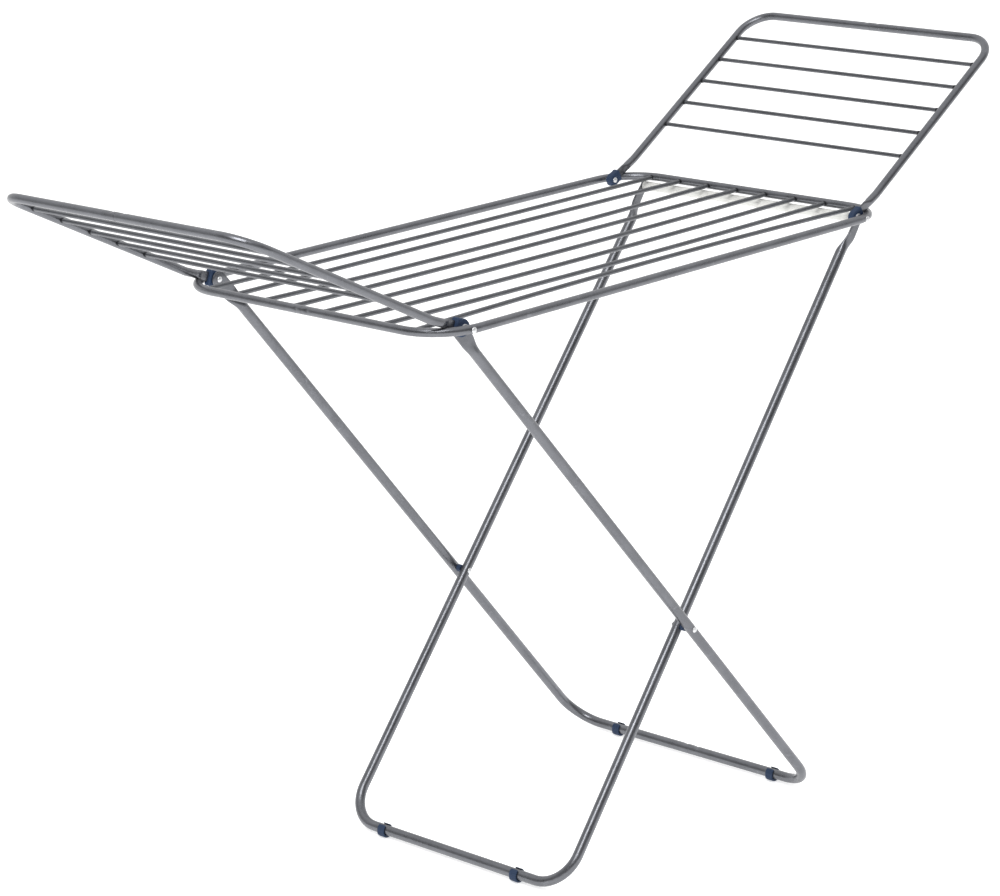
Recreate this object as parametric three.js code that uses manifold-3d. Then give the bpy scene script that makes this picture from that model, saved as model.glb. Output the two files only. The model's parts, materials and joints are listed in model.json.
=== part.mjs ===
// A folding winged clothes airer, in millimetres, standing on z = 0 with +Z up. X runs along the
// rack from the left wing to the right wing, and Y across it from the front (-Y) to the back (+Y).
import * as THREE from "three";
import { mergeVertices } from "three/addons/utils/BufferGeometryUtils.js";
import Module from "manifold-3d";

// Main frame.
const railHeight = 916; // height of the frame tube's axis above the floor
const frameLength = 1000; // between the axes of the two end tubes
const frameWidth = 537; // between the axes of the two side tubes
const frameTube = 13; // outside diameter
const frameCorner = 75; // bend radius of the axis
const rodDiameter = 7;
const rodSags = [2.4, 0, 5.3, 2.2, 3.5, 3.6, 3.1, -5]; // drop at mid length, back rod first
const rodEnter = 1; // how far short of the tube's axis a rod ends

// Wings.
const hingeReach = 441; // pivots, either side of the frame's middle
const wingLength = 434; // pivot to the axis of the outer tube
const wingWidth = frameWidth - 39; // between the axes of the two arms
const wingTube = 13;
const wingCorner = 48;
const wingRodDiameter = 6.5;
const wingRods = 5;
const firstWingRod = 149.2; // from the pivot
const wingRodPitch = 55.6;
const armDrop = 6.8; // the arm's axis passes this far under the pivot
const tongueBend = THREE.MathUtils.degToRad(6.5);
const leftRise = THREE.MathUtils.degToRad(27.1);
const rightRise = THREE.MathUtils.degToRad(32);
const tongueWidth = 15;
const tongueFlat = 27; // the tongue is flat from its end to here, measured from the pivot
const tongueRound = 43; // and a full round tube from here on

// Legs, both U-shaped. The outer one hangs on the left hinge rivets.
const legTube = 16;
const legCorner = 56;
const outerLegTop = frameWidth - 65.4; // between the axes of its two tubes
const outerLegFoot = outerLegTop + 34.8;
const outerLegAngle = THREE.MathUtils.degToRad(49.65); // below the rack
const crossing = 741; // pivot to the rivets that join the two legs
const innerLegTop = outerLegTop - 42.8;
const innerLegFoot = outerLegFoot - 53.2;
const outerPlateWidth = 25;
const innerPlateWidth = 18;
const legPlateFlat = 30;
const legPlateRound = 62;
const topBarDiameter = 15;
const topBarInset = 12; // its axis to the axis of the right end tube, along the rack
const topBarScrew = 10; // how far its rivets reach in

// Small parts.
const wall = 1; // of every tube
const rodWall = 0.8;
const plateThickness = 3; // of a tube's flattened end
const clearance = 0.3; // left between pieces that touch
const jointGap = 0.5; // between the butted ends of a tube
const jointPlug = 60;
const framePlugEnd = 4; // from each end of the frame's plug to the rod beside it
const shank = 5.4; // of the rivets
const rivetHead = 9;
const rivetRise = 2;
const capThickness = 12;
const capRadius = { left: 13, right: 10.5 };
const capLength = 16; // pivot to the cap's open end
const capToLeg = 0.8; // gap beside the left caps, where the outer leg's plates turn
const seatLift = THREE.MathUtils.degToRad(48); // the caps clear the corner bends from here on
const seatSteps = 8;
const clipWidth = 14;
const clipFloor = 4; // thickness of the clip under the foot bar
const clipWall = 2;
const outerClips = { front: 26.2, back: 40.2 }; // from the end of the foot bar's bend
const innerClips = { front: 37.6, back: 23.6 };

const silver = new THREE.MeshStandardMaterial({ color: 0x8f9297, metalness: 0.85, roughness: 0.38 });
const steel = new THREE.MeshStandardMaterial({ color: 0xc4c6c8, metalness: 0.95, roughness: 0.28 });
const navy = new THREE.MeshStandardMaterial({ color: 0x0a1f3c, metalness: 0, roughness: 0.5 });
const pale = new THREE.MeshStandardMaterial({ color: 0xd9dbd8, metalness: 0, roughness: 0.45 });

const wasm = await Module();
wasm.setup();

function toSolid(geometry) {
  const bare = geometry.index ? geometry.toNonIndexed() : geometry.clone();
  bare.deleteAttribute("normal");
  bare.deleteAttribute("uv");
  const merged = mergeVertices(bare, 1e-4);
  return new wasm.Manifold(
    new wasm.Mesh({
      numProp: 3,
      vertProperties: merged.attributes.position.array,
      triVerts: new Uint32Array(merged.index.array),
    }),
  );
}

function toGeometry(solid) {
  const mesh = solid.getMesh();
  const geometry = new THREE.BufferGeometry();
  geometry.setAttribute("position", new THREE.BufferAttribute(mesh.vertProperties, 3));
  geometry.setIndex(new THREE.BufferAttribute(mesh.triVerts, 1));
  geometry.computeVertexNormals();
  return geometry;
}

// The pieces joined into one, less the cutters.
function shapeFrom(pieces, cutters) {
  const joined = pieces.map(toSolid).reduce((sum, piece) => sum.add(piece));
  return toGeometry(cutters.map(toSolid).reduce((rest, cutter) => rest.subtract(cutter), joined));
}

// Straight runs joined by circular bends. The corners are where the runs would meet.
class BentPath extends THREE.Curve {
  constructor(corners, radius, bendSteps) {
    super();
    this.points = [corners[0].clone()];
    this.tangents = [corners[1].clone().sub(corners[0]).normalize()];
    for (let i = 1; i < corners.length - 1; i += 1) {
      const from = corners[i].clone().sub(corners[i - 1]).normalize();
      const to = corners[i + 1].clone().sub(corners[i]).normalize();
      const turn = from.angleTo(to);
      const setback = radius * Math.tan(turn / 2);
      const inward = to.clone().addScaledVector(from, -from.dot(to)).normalize();
      const start = corners[i].clone().addScaledVector(from, -setback);
      const steps = Math.max(2, Math.round((bendSteps * turn) / (Math.PI / 2)));
      for (let k = 0; k <= steps; k += 1) {
        const angle = (turn * k) / steps;
        const point = start.clone().addScaledVector(from, radius * Math.sin(angle));
        this.points.push(point.addScaledVector(inward, radius * (1 - Math.cos(angle))));
        const tangent = from.clone().multiplyScalar(Math.cos(angle));
        this.tangents.push(tangent.addScaledVector(inward, Math.sin(angle)));
      }
    }
    const last = corners[corners.length - 1];
    this.points.push(last.clone());
    this.tangents.push(last.clone().sub(corners[corners.length - 2]).normalize());
    this.steps = this.points.length - 1;
  }

  getPointAt(u, target = new THREE.Vector3()) {
    return target.copy(this.points[Math.round(u * this.steps)]);
  }

  getTangentAt(u, target = new THREE.Vector3()) {
    return target.copy(this.tangents[Math.round(u * this.steps)]);
  }
}

function sweep(path, radius, sides) {
  const disc = new THREE.Shape().absarc(0, 0, radius, 0, Math.PI * 2);
  return new THREE.ExtrudeGeometry(disc, {
    steps: path.steps,
    curveSegments: sides / 2,
    extrudePath: path,
  });
}

function annulus(inner, outer) {
  const disc = new THREE.Shape().absarc(0, 0, outer, 0, Math.PI * 2);
  disc.holes.push(new THREE.Path().absarc(0, 0, inner, 0, Math.PI * 2));
  return disc;
}

function point(x, y, z) {
  return new THREE.Vector3(x, y, z);
}

// A round bar along Y, from one y to the other.
function pin(radius, from, to, sides, x = 0, z = 0) {
  const geometry = new THREE.CylinderGeometry(radius, radius, Math.abs(to - from), sides);
  return geometry.translate(x, (from + to) / 2, z);
}

// A tube's end pressed flat, lying along +X from the centre of its rivet hole. Its plate stands
// square to Y and is moved off the tube's axis by `offset`.
function flatEnd({ diameter, width, endRadius, flat, round, offset, hole }) {
  const radius = diameter / 2;
  const span = round - flat;
  const press = new THREE.CylinderGeometry(radius - 0.04, radius - 0.04, span, 14, 5);
  press.rotateZ(-Math.PI / 2);
  press.translate((flat + round) / 2, 0, 0);
  const position = press.getAttribute("position");
  for (let i = 0; i < position.count; i += 1) {
    const x = position.getX(i);
    const pressed = THREE.MathUtils.smoothstep(round - x, 0, span);
    const widen = 1 + (width / diameter - 1) * pressed;
    const thin = 1 + (plateThickness / diameter - 1) * pressed;
    position.setY(i, position.getY(i) * thin + offset * pressed);
    position.setZ(i, position.getZ(i) * widen);
  }
  press.translate(0.5, 0, 0);
  const outline = new THREE.Shape();
  outline.absarc(0, 0, endRadius, Math.PI / 2, Math.PI * 1.5);
  outline.lineTo(flat + 1.5, -width / 2 + 0.3);
  outline.lineTo(flat + 1.5, width / 2 - 0.3);
  const eye = new THREE.Path().absarc(0, 0, hole / 2, 0, Math.PI * 2);
  outline.holes.push(eye);
  const depth = plateThickness;
  const plate = new THREE.ExtrudeGeometry(outline, { depth, curveSegments: 7, bevelEnabled: false });
  plate.rotateX(Math.PI / 2);
  plate.translate(0, offset + depth / 2, 0);
  return [press, plate];
}

function node(parent, name, geometry, material) {
  const mesh = new THREE.Mesh(geometry, material);
  mesh.name = name;
  parent.add(mesh);
  return mesh;
}

// A rivet along Y with a domed head at each end; `from` and `to` are the faces under the heads.
function rivet(from, to) {
  const r = shank / 2;
  const h = rivetHead / 2;
  const profile = [
    [0, from - rivetRise],
    [h * 0.55, from - rivetRise * 0.85],
    [h * 0.88, from - rivetRise * 0.45],
    [h, from],
    [r, from],
    [r, to],
    [h, to],
    [h * 0.88, to + rivetRise * 0.45],
    [h * 0.55, to + rivetRise * 0.85],
    [0, to + rivetRise],
  ].map(([x, y]) => new THREE.Vector2(x, y));
  return new THREE.LatheGeometry(profile, 14);
}

function ring(inner, outer, from, to, sides = 16) {
  const profile = [
    [inner, from],
    [outer, from],
    [outer, to],
    [inner, to],
    [inner, from],
  ].map(([x, y]) => new THREE.Vector2(x, y));
  return new THREE.LatheGeometry(profile, sides);
}

const frontOrBack = (y) => (y < 0 ? "front" : "back");
const holeSize = shank + 2 * clearance;
const bore = (diameter) => diameter / 2 - wall;
const plugRadius = (diameter) => bore(diameter) - 2 * clearance;

const airer = new THREE.Group();
airer.name = "winged_clothes_airer";
const reach = (rise) => hingeReach + wingLength * Math.cos(rise) + armDrop * Math.sin(rise);
airer.position.x = (reach(leftRise) - reach(rightRise)) / 2;

const rack = new THREE.Group();
rack.name = "rack";
rack.position.z = railHeight;
airer.add(rack);

// Where the rivets, caps and flattened ends lie across the airer, all measured from its middle.
// The hinges are on the first part of the frame's corner bends.
const half = frameLength / 2;
const across = frameWidth / 2;
function sideY(x) {
  const past = Math.max(0, x - half + frameCorner);
  return across - frameCorner + Math.sqrt(frameCorner ** 2 - past ** 2);
}
const sideInner = sideY(hingeReach + 1.5 * holeSize) - frameTube / 2;
const sideOuter = sideY(hingeReach - rivetHead / 2) + frameTube / 2;
const capMiddle = wingWidth / 2;
const capInner = capMiddle - capThickness / 2;
const capOuter = capMiddle + capThickness / 2;
const outerPlate = capInner - capToLeg - plateThickness / 2;

// Main frame: one tube bent round and butted at the middle of its left end.
function frameLoop(gap) {
  const corners = [
    point(-half, gap / 2, 0),
    point(-half, across, 0),
    point(half, across, 0),
    point(half, -across, 0),
    point(-half, -across, 0),
    point(-half, -gap / 2, 0),
  ];
  return new BentPath(corners, frameCorner, 7);
}
const rodPitch = frameWidth / (rodSags.length + 1);
const rodY = rodSags.map((sag, i) => across - rodPitch * (i + 1));
const rodHole = rodDiameter / 2 + clearance;
const frameCuts = [sweep(frameLoop(jointGap / 4), bore(frameTube), 10)];
for (const y of rodY) {
  for (const end of [-1, 1]) {
    const drill = new THREE.CylinderGeometry(rodHole, rodHole, frameTube, 10);
    drill.rotateZ(Math.PI / 2);
    drill.translate(end * (half - frameTube / 2), y, 0);
    frameCuts.push(drill);
  }
}
for (const x of [-hingeReach, hingeReach]) {
  for (const side of [-1, 1]) {
    frameCuts.push(pin(holeSize / 2, side * (sideInner - 3), side * (sideOuter + 3), 10, x));
  }
}
node(rack, "main_frame_tube", shapeFrom([sweep(frameLoop(jointGap), frameTube / 2, 14)], frameCuts), silver);
const framePlugLength = rodPitch - rodDiameter - 2 * framePlugEnd;
const framePlug = pin(plugRadius(frameTube), -framePlugLength / 2, framePlugLength / 2, 10);
node(rack, "main_frame_joint_plug", framePlug, steel).position.x = -half;

// Drying rods, thin tubes that each hang a little differently.
class SaggingLine extends THREE.Curve {
  constructor(reachX, sag) {
    super();
    this.reachX = reachX;
    this.sag = sag;
  }

  getPoint(t, target = new THREE.Vector3()) {
    const s = 2 * t - 1;
    return target.set(this.reachX * s, 0, -this.sag * (1 - s * s));
  }
}
rodSags.forEach((sag, i) => {
  const line = new SaggingLine(half - rodEnter, sag);
  const section = annulus(rodDiameter / 2 - rodWall, rodDiameter / 2);
  const rod = new THREE.ExtrudeGeometry(section, { steps: 8, curveSegments: 4, extrudePath: line });
  node(rack, `main_rod_${i + 1}`, rod, silver).position.y = rodY[i];
});

// Hinge rivets and the spacers between the side tubes and the caps.
for (const x of [-hingeReach, hingeReach]) {
  for (const side of [-1, 1]) {
    const where = `${x < 0 ? "left" : "right"}_${frontOrBack(side)}`;
    const innerFace = x < 0 ? outerPlate - plateThickness / 2 : capInner;
    const ends = [side * (sideOuter + clearance), side * (innerFace - clearance)];
    const hinge = node(rack, `hinge_rivet_${where}`, rivet(Math.min(...ends), Math.max(...ends)), steel);
    hinge.position.x = x;
    const faces = [side * (capOuter + clearance), side * (sideInner - clearance)];
    const collar = ring(holeSize / 2, holeSize, Math.min(...faces), Math.max(...faces));
    node(rack, `hinge_spacer_${where}`, collar, steel).position.x = x;
  }
}

// One wing, lying along +X from its pivot; `turned` is true for the one turned half round.
function addWing(parent, label, rise, turned) {
  const armY = wingWidth / 2;
  const outer = wingLength;
  const bend = armDrop / Math.tan(tongueBend);
  const along = (distance) => point(distance * Math.cos(tongueBend), 0, -distance * Math.sin(tongueBend));
  for (const side of [-1, 1]) {
    const place = frontOrBack(turned ? -side : side);
    const halfPath = (start, gap) => {
      const from = along(start).setY(side * armY);
      const corners = [from, point(bend, side * armY, -armDrop), point(outer, side * armY, -armDrop)];
      corners.push(point(outer, side * gap, -armDrop));
      return new BentPath(corners, wingCorner, 6);
    };
    const end = flatEnd({
      diameter: wingTube,
      width: tongueWidth,
      endRadius: tongueWidth / 2,
      flat: tongueFlat,
      round: tongueRound,
      offset: 0,
      hole: holeSize,
    });
    end.forEach((piece) => piece.rotateY(tongueBend).translate(0, side * armY, 0));
    // The arm and its cap are hollowed where they rest on the frame's corner bend, and the cap
    // also where the bend passes it as the wing lifts.
    const seats = [];
    for (let k = 0; k <= seatSteps; k += 1) {
      const seat = sweep(frameLoop(jointGap), frameTube / 2 + clearance, 14);
      seat.translate(-hingeReach, 0, 0).rotateY(rise + (seatLift * k) / seatSteps);
      seats.push(seat);
    }
    const cuts = [sweep(halfPath(tongueRound + 2, -1), bore(wingTube), 10), seats[0]];
    for (let i = 0; i < wingRods; i += 1) {
      const x = firstWingRod + wingRodPitch * i;
      const radius = wingRodDiameter / 2 + clearance;
      cuts.push(pin(radius, side * (armY - wingTube), side * armY, 10, x, -armDrop));
    }
    const tube = [sweep(halfPath(tongueRound - 0.5, jointGap / 2), wingTube / 2, 14), ...end];
    node(parent, `${label}_wing_tube_${place}`, shapeFrom(tube, cuts), silver);

    const outline = new THREE.Shape();
    outline.absarc(0, 0, capRadius[label], Math.PI / 2, Math.PI * 1.5);
    outline.lineTo(capLength, -capRadius[label] + 0.5);
    outline.lineTo(capLength, capRadius[label] - 0.5);
    const bevel = 1.5;
    const body = new THREE.ExtrudeGeometry(outline, {
      depth: capThickness - 2 * bevel,
      curveSegments: 7,
      bevelThickness: bevel,
      bevelSize: bevel,
      bevelOffset: -bevel,
      bevelSegments: 1,
    });
    body.rotateX(Math.PI / 2);
    body.translate(0, capThickness / 2 - bevel, 0);
    const slotDepth = plateThickness + 2 * clearance;
    const slotWidth = tongueWidth + 2 * clearance;
    const slot = new THREE.BoxGeometry(capLength + slotWidth, slotDepth, slotWidth);
    slot.translate(capLength / 2, 0, 0);
    const eye = pin(holeSize / 2, -capThickness, capThickness, 10);
    [body, slot, eye].forEach((piece) => piece.rotateY(tongueBend).translate(0, side * armY, 0));
    node(parent, `${label}_hinge_cap_${place}`, shapeFrom([body], [slot, eye, ...seats]), navy);
  }
  const plug = pin(plugRadius(wingTube), -jointPlug / 2, jointPlug / 2, 10, outer, -armDrop);
  node(parent, `${label}_wing_joint_plug`, plug, steel);
  for (let i = 0; i < wingRods; i += 1) {
    const x = firstWingRod + wingRodPitch * i;
    const radius = wingRodDiameter / 2;
    const rod = ring(radius - rodWall, radius, -armY + rodEnter, armY - rodEnter, 10);
    node(parent, `${label}_wing_rod_${i + 1}`, rod.translate(x, 0, -armDrop), silver);
  }
}

const rightWing = new THREE.Group();
rightWing.name = "right_wing";
rightWing.position.x = hingeReach;
rightWing.rotation.y = -rightRise;
rack.add(rightWing);
addWing(rightWing, "right", rightRise, false);

const leftSide = new THREE.Group();
leftSide.name = "left_side";
leftSide.position.x = -hingeReach;
leftSide.rotation.z = Math.PI;
rack.add(leftSide);
const leftWing = new THREE.Group();
leftWing.name = "left_wing";
leftWing.rotation.y = -leftRise;
leftSide.add(leftWing);
addWing(leftWing, "left", leftRise, true);

// A saddle clip under a foot bar, open at the top, with a flat sole at z = -legTube / 2 - clipFloor.
function clip() {
  const inner = legTube / 2 + clearance;
  const outer = inner + clipWall;
  const sole = legTube / 2 + clipFloor;
  const lip = THREE.MathUtils.degToRad(68);
  const outline = new THREE.Shape();
  outline.absarc(0, 0, inner, lip, Math.PI - lip, true);
  outline.absarc(0, 0, outer, Math.PI - lip, Math.PI, false);
  outline.lineTo(-outer + 1.5, -sole);
  outline.lineTo(outer - 1.5, -sole);
  outline.absarc(0, 0, outer, 0, lip, false);
  outline.closePath();
  const depth = clipWidth;
  const body = new THREE.ExtrudeGeometry(outline, { depth, curveSegments: 9, bevelEnabled: false });
  body.rotateX(Math.PI / 2);
  body.translate(0, clipWidth / 2, 0);
  return body;
}

// Both foot bars lie at this depth under the rack. The top bar lies just low enough to pass
// under the end tube.
const footDepth = railHeight - legTube / 2 - clipFloor;
const outerLegLength = footDepth / Math.sin(outerLegAngle);
const crossX = -hingeReach + crossing * Math.cos(outerLegAngle);
const crossDepth = crossing * Math.sin(outerLegAngle);
const topBarDepth = frameTube / 2 + topBarDiameter / 2 + clearance;
const topBarX = half - topBarInset;
const innerLegAngle = Math.atan2(crossDepth - topBarDepth, topBarX - crossX);
const innerLegUpper = Math.hypot(crossDepth - topBarDepth, topBarX - crossX);
const innerLegLower = (footDepth - crossDepth) / Math.sin(innerLegAngle);

// Outer leg, lying along +X from the left hinge rivets.
const outerLeg = new THREE.Group();
outerLeg.name = "outer_leg";
outerLeg.position.x = -hingeReach;
outerLeg.rotation.y = outerLegAngle;
rack.add(outerLeg);
const outerY = (x) => outerLegTop / 2 + ((outerLegFoot - outerLegTop) / 2) * (x / outerLegLength);
for (const side of [-1, 1]) {
  const path = (start, gap) => {
    const corners = [
      point(start, side * outerY(start), 0),
      point(outerLegLength, side * outerY(outerLegLength), 0),
      point(outerLegLength, side * gap, 0),
    ];
    return new BentPath(corners, legCorner, 7);
  };
  const end = flatEnd({
    diameter: legTube,
    width: outerPlateWidth,
    endRadius: outerPlateWidth / 2,
    flat: legPlateFlat,
    round: legPlateRound,
    offset: side * (outerPlate - outerY(legPlateRound)),
    hole: holeSize,
  });
  end.forEach((piece) => piece.translate(0, side * outerY(legPlateRound), 0));
  const cuts = [sweep(path(legPlateRound + 3, -1), bore(legTube), 10)];
  cuts.push(pin(holeSize / 2, side * (outerY(crossing) - 14), side * (outerY(crossing) + 14), 10, crossing));
  const tube = [sweep(path(legPlateRound - 0.5, jointGap / 2), legTube / 2, 14), ...end];
  node(outerLeg, `outer_leg_tube_${frontOrBack(side)}`, shapeFrom(tube, cuts), silver);
  const sole = new THREE.Group();
  const clipY = outerY(outerLegLength) - legCorner - outerClips[frontOrBack(side)];
  sole.position.set(outerLegLength, side * clipY, 0);
  sole.rotation.y = -outerLegAngle;
  outerLeg.add(sole);
  node(sole, `outer_foot_clip_${frontOrBack(side)}`, clip(), navy);
}
const footPlug = pin(plugRadius(legTube), -jointPlug / 2, jointPlug / 2, 12);
node(outerLeg, "outer_leg_joint_plug", footPlug, steel).position.x = outerLegLength;

// Inner leg, lying along +X upwards from the crossing.
const innerLeg = new THREE.Group();
innerLeg.name = "inner_leg";
innerLeg.position.x = crossing;
innerLeg.rotation.y = -outerLegAngle - innerLegAngle;
outerLeg.add(innerLeg);
const innerLength = innerLegUpper + innerLegLower;
const innerGrow = (innerLegFoot - innerLegTop) / 2;
const innerY = (x) => innerLegTop / 2 + innerGrow * ((innerLegUpper - x) / innerLength);
function innerPath(inset) {
  const top = innerLegUpper - inset;
  const corners = [
    point(top, innerY(top), 0),
    point(-innerLegLower, innerY(-innerLegLower), 0),
    point(-innerLegLower, -innerY(-innerLegLower), 0),
    point(top, -innerY(top), 0),
  ];
  return new BentPath(corners, legCorner, 7);
}
const innerEndY = innerY(innerLegUpper - legPlateRound);
const innerPlateY = innerEndY + legTube / 2 - plateThickness / 2;
const innerPieces = [sweep(innerPath(legPlateRound - 0.5), legTube / 2, 14)];
const innerCuts = [sweep(innerPath(legPlateRound + 3), bore(legTube), 10)];
for (const side of [-1, 1]) {
  const end = flatEnd({
    diameter: legTube,
    width: innerPlateWidth,
    endRadius: topBarDiameter / 2,
    flat: legPlateFlat,
    round: legPlateRound,
    offset: side * (innerPlateY - innerEndY),
    hole: holeSize,
  });
  end.forEach((piece) => piece.rotateY(Math.PI).translate(innerLegUpper, side * innerEndY, 0));
  innerPieces.push(...end);
  innerCuts.push(pin(holeSize / 2, side * (innerY(0) - 14), side * (innerY(0) + 14), 10));
}
node(innerLeg, "inner_leg_tube", shapeFrom(innerPieces, innerCuts), silver);

// Top bar between the inner leg's flattened ends, with a rivet into each end of it.
const barEnd = innerPlateY - plateThickness / 2 - clearance;
const boreEnds = [barEnd - topBarScrew - 2, barEnd + 2];
const barBores = [-1, 1].map((side) => pin(holeSize / 2, side * boreEnds[0], side * boreEnds[1], 10));
const bar = shapeFrom([pin(topBarDiameter / 2, -barEnd, barEnd, 20)], barBores);
node(innerLeg, "inner_leg_top_bar", bar, pale).position.x = innerLegUpper;
for (const side of [-1, 1]) {
  const r = shank / 2;
  const h = rivetHead / 2;
  const face = innerPlateY + plateThickness / 2 + clearance;
  const profile = [
    [0, barEnd - topBarScrew],
    [r, barEnd - topBarScrew],
    [r, face],
    [h, face],
    [h * 0.88, face + rivetRise * 0.45],
    [h * 0.55, face + rivetRise * 0.85],
    [0, face + rivetRise],
  ].map(([x, y]) => new THREE.Vector2(x, y));
  const stud = new THREE.LatheGeometry(profile, 14);
  if (side < 0) stud.rotateX(Math.PI);
  node(innerLeg, `top_bar_rivet_${frontOrBack(side)}`, stud, steel).position.x = innerLegUpper;

  const sole = new THREE.Group();
  const clipY = innerY(-innerLegLower) - legCorner - innerClips[frontOrBack(side)];
  sole.position.set(-innerLegLower, side * clipY, 0);
  sole.rotation.y = innerLegAngle;
  innerLeg.add(sole);
  node(sole, `inner_foot_clip_${frontOrBack(side)}`, clip(), navy);

  // The rivet and spacer that join the two legs, carried by the outer one.
  const outsideFace = outerY(crossing) + legTube / 2 + clearance;
  const insideFace = innerY(0) - legTube / 2 - clearance;
  const heads = [side * outsideFace, side * insideFace];
  const joint = rivet(Math.min(...heads), Math.max(...heads));
  node(outerLeg, `crossing_rivet_${frontOrBack(side)}`, joint, steel).position.x = crossing;
  const spacerInner = innerY(0) + legTube / 2 + clearance;
  const spacerOuter = outerY(crossing) - legTube / 2 - clearance;
  const sides = [side * spacerInner, side * spacerOuter];
  const spacer = ring(holeSize / 2, holeSize, Math.min(...sides), Math.max(...sides));
  node(outerLeg, `crossing_spacer_${frontOrBack(side)}`, spacer, navy).position.x = crossing;
}

export default airer;
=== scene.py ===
"""A folding winged clothes airer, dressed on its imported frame.

The rack is one bent tube carrying eight rods, with a wing at each end and two crossed legs. Every
surface is worked out with numpy in metres, in the frame's own axes: X along the rack, Y across it
from the front to the back, Z up.
"""

import json
import math

import bpy
import numpy as np
from bpy.props import FloatProperty, FloatVectorProperty, IntProperty, PointerProperty
from mathutils import Euler, Matrix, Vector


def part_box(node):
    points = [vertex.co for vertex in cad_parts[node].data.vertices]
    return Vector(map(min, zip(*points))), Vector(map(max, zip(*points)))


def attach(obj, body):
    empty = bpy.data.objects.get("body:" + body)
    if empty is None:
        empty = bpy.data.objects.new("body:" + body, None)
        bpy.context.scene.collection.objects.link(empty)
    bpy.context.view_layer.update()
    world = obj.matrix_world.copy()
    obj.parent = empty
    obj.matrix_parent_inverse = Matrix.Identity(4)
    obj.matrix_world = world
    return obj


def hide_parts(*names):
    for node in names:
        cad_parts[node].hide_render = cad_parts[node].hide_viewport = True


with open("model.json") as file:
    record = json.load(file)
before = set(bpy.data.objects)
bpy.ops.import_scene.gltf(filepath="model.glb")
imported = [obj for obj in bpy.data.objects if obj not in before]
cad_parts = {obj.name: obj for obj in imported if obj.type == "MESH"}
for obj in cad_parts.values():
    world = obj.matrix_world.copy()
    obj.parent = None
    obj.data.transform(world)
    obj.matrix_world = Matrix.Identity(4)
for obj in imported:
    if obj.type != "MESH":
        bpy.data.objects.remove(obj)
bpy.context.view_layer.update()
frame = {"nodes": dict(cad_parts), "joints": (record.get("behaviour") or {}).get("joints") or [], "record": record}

bl_info = {
    "name": "Winged Clothes Airer",
    "version": (1, 0, 0),
    "blender": (4, 5, 0),
    "location": "View3D > Sidebar > Airer",
    "description": "Tubes, rods, hinges and feet of a folding winged clothes airer",
    "category": "Add Mesh",
}

NODES = sorted(frame["nodes"])
BODY_OF = {
    node: body for body, nodes in frame["record"]["behaviour"]["bodies"].items() for node in nodes
}
PIVOTS = {joint["name"]: np.array(joint["pos_m"]) for joint in frame["joints"]}
SIDES = {"front": -1.0, "back": 1.0}


def corners_of(node):
    """The lowest and highest corners of a node, as arrays."""
    low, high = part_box(node)
    return np.array(low), np.array(high)


def middle_of(node):
    """The middle of a node's box: the mean of its two corners."""
    return np.mean(corners_of(node), axis=0)


def nodes_with(text):
    """The nodes whose names hold the text, in order."""
    return [node for node in NODES if text in node]


# Where things lie, read from the frame.
LEFT_HINGE = PIVOTS["left_wing_hinge"]
RIGHT_HINGE = PIVOTS["right_wing_hinge"]
CROSSING = PIVOTS["inner_leg_hinge"]
RACK_MIDDLE = (LEFT_HINGE + RIGHT_HINGE) / 2

# Finer points of the shapes, in metres. AROUND counts the points round a section.
END_SPAN = 0.02  # from a tube's end, where its rings stand close
TUBE_END = np.linspace(0, END_SPAN, 17)
ROD_END = np.linspace(0, END_SPAN, 24)
ROD_AROUND = 20
FIRST_TIP = 0.06  # radians round a pressed end, to its first ring
TIP_FLOOR = 1e-8  # square of the least half width
CRIMP_INSET = 0.011  # from a butted end to its crimp
WELD_REACH = 0.0022  # of the swelling of a rod at a tube
SEAT_REACH = 0.003  # of the darker ring there
CAP_ROUND = 0.0012  # round edge of a cap's mouth
CAP_POWER = 5.0  # of the outlines of a cap and its slot
CAP_AROUND = 44
CAP_LIFTS = np.radians(np.arange(0, 50, 6))  # at which a cap clears the bends
BAR_EDGE = 0.0012  # round edge of the top bar
HEAD_WASTE = 0.98  # of a rivet head's radius, under it
UNDER_HEAD = 0.9  # of the running gap, under a head
SPACER_EDGE = 0.0004
CLIP_LIP = math.radians(68)  # above the level, to a clip's mouth
CLIP_STEPS = 61
CLIP_AROUND = 36
CLIP_SWELL = 0.0016  # of the cheeks towards the floor
CLIP_POWER = 2 / 7  # of the outline of the clip's section
SMOOTH_ANGLE = math.radians(42)  # edges sharper than this stay sharp
FLOOR_DROP = 0.0002  # so that the feet don't share its plane
KEY_PLACE = (-2.4, -1.2, 3.4)
KEY_TURN = (math.radians(30), math.radians(-32), 0)
KEY_SIZE = (2.2, 1.6)
AWAY = (0.725, 0.688, 0.0)  # the way the camera looks
SENSOR = 36  # millimetres
FARTHEST = 60  # that the camera sees


def size(name, description, default):
    """A setting that is a length in metres."""
    return FloatProperty(name=name, description=description, default=default, unit="LENGTH")


def slope(name, description, degrees):
    """A setting that is an angle, given in degrees and held in radians."""
    default = math.radians(degrees)
    return FloatProperty(name=name, description=description, default=default, subtype="ANGLE")


def colour(name, description, red, green, blue):
    """A setting that is an opaque colour."""
    return FloatVectorProperty(
        name=name, description=description, default=(red, green, blue, 1), size=4,
        subtype="COLOR", min=0, max=1,
    )


class AirerRackSizes(bpy.types.PropertyGroup):
    """Sizes of the rack's tube and rods."""

    tube: size("Frame tube", "Outside diameter", 0.013)
    corner: size("Corner", "Bend radius of the tube's axis", 0.075)
    rod: size("Rod", "Rod diameter", 0.007)
    weld: size("Weld", "How far a rod swells where it meets a tube", 0.0007)


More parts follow.
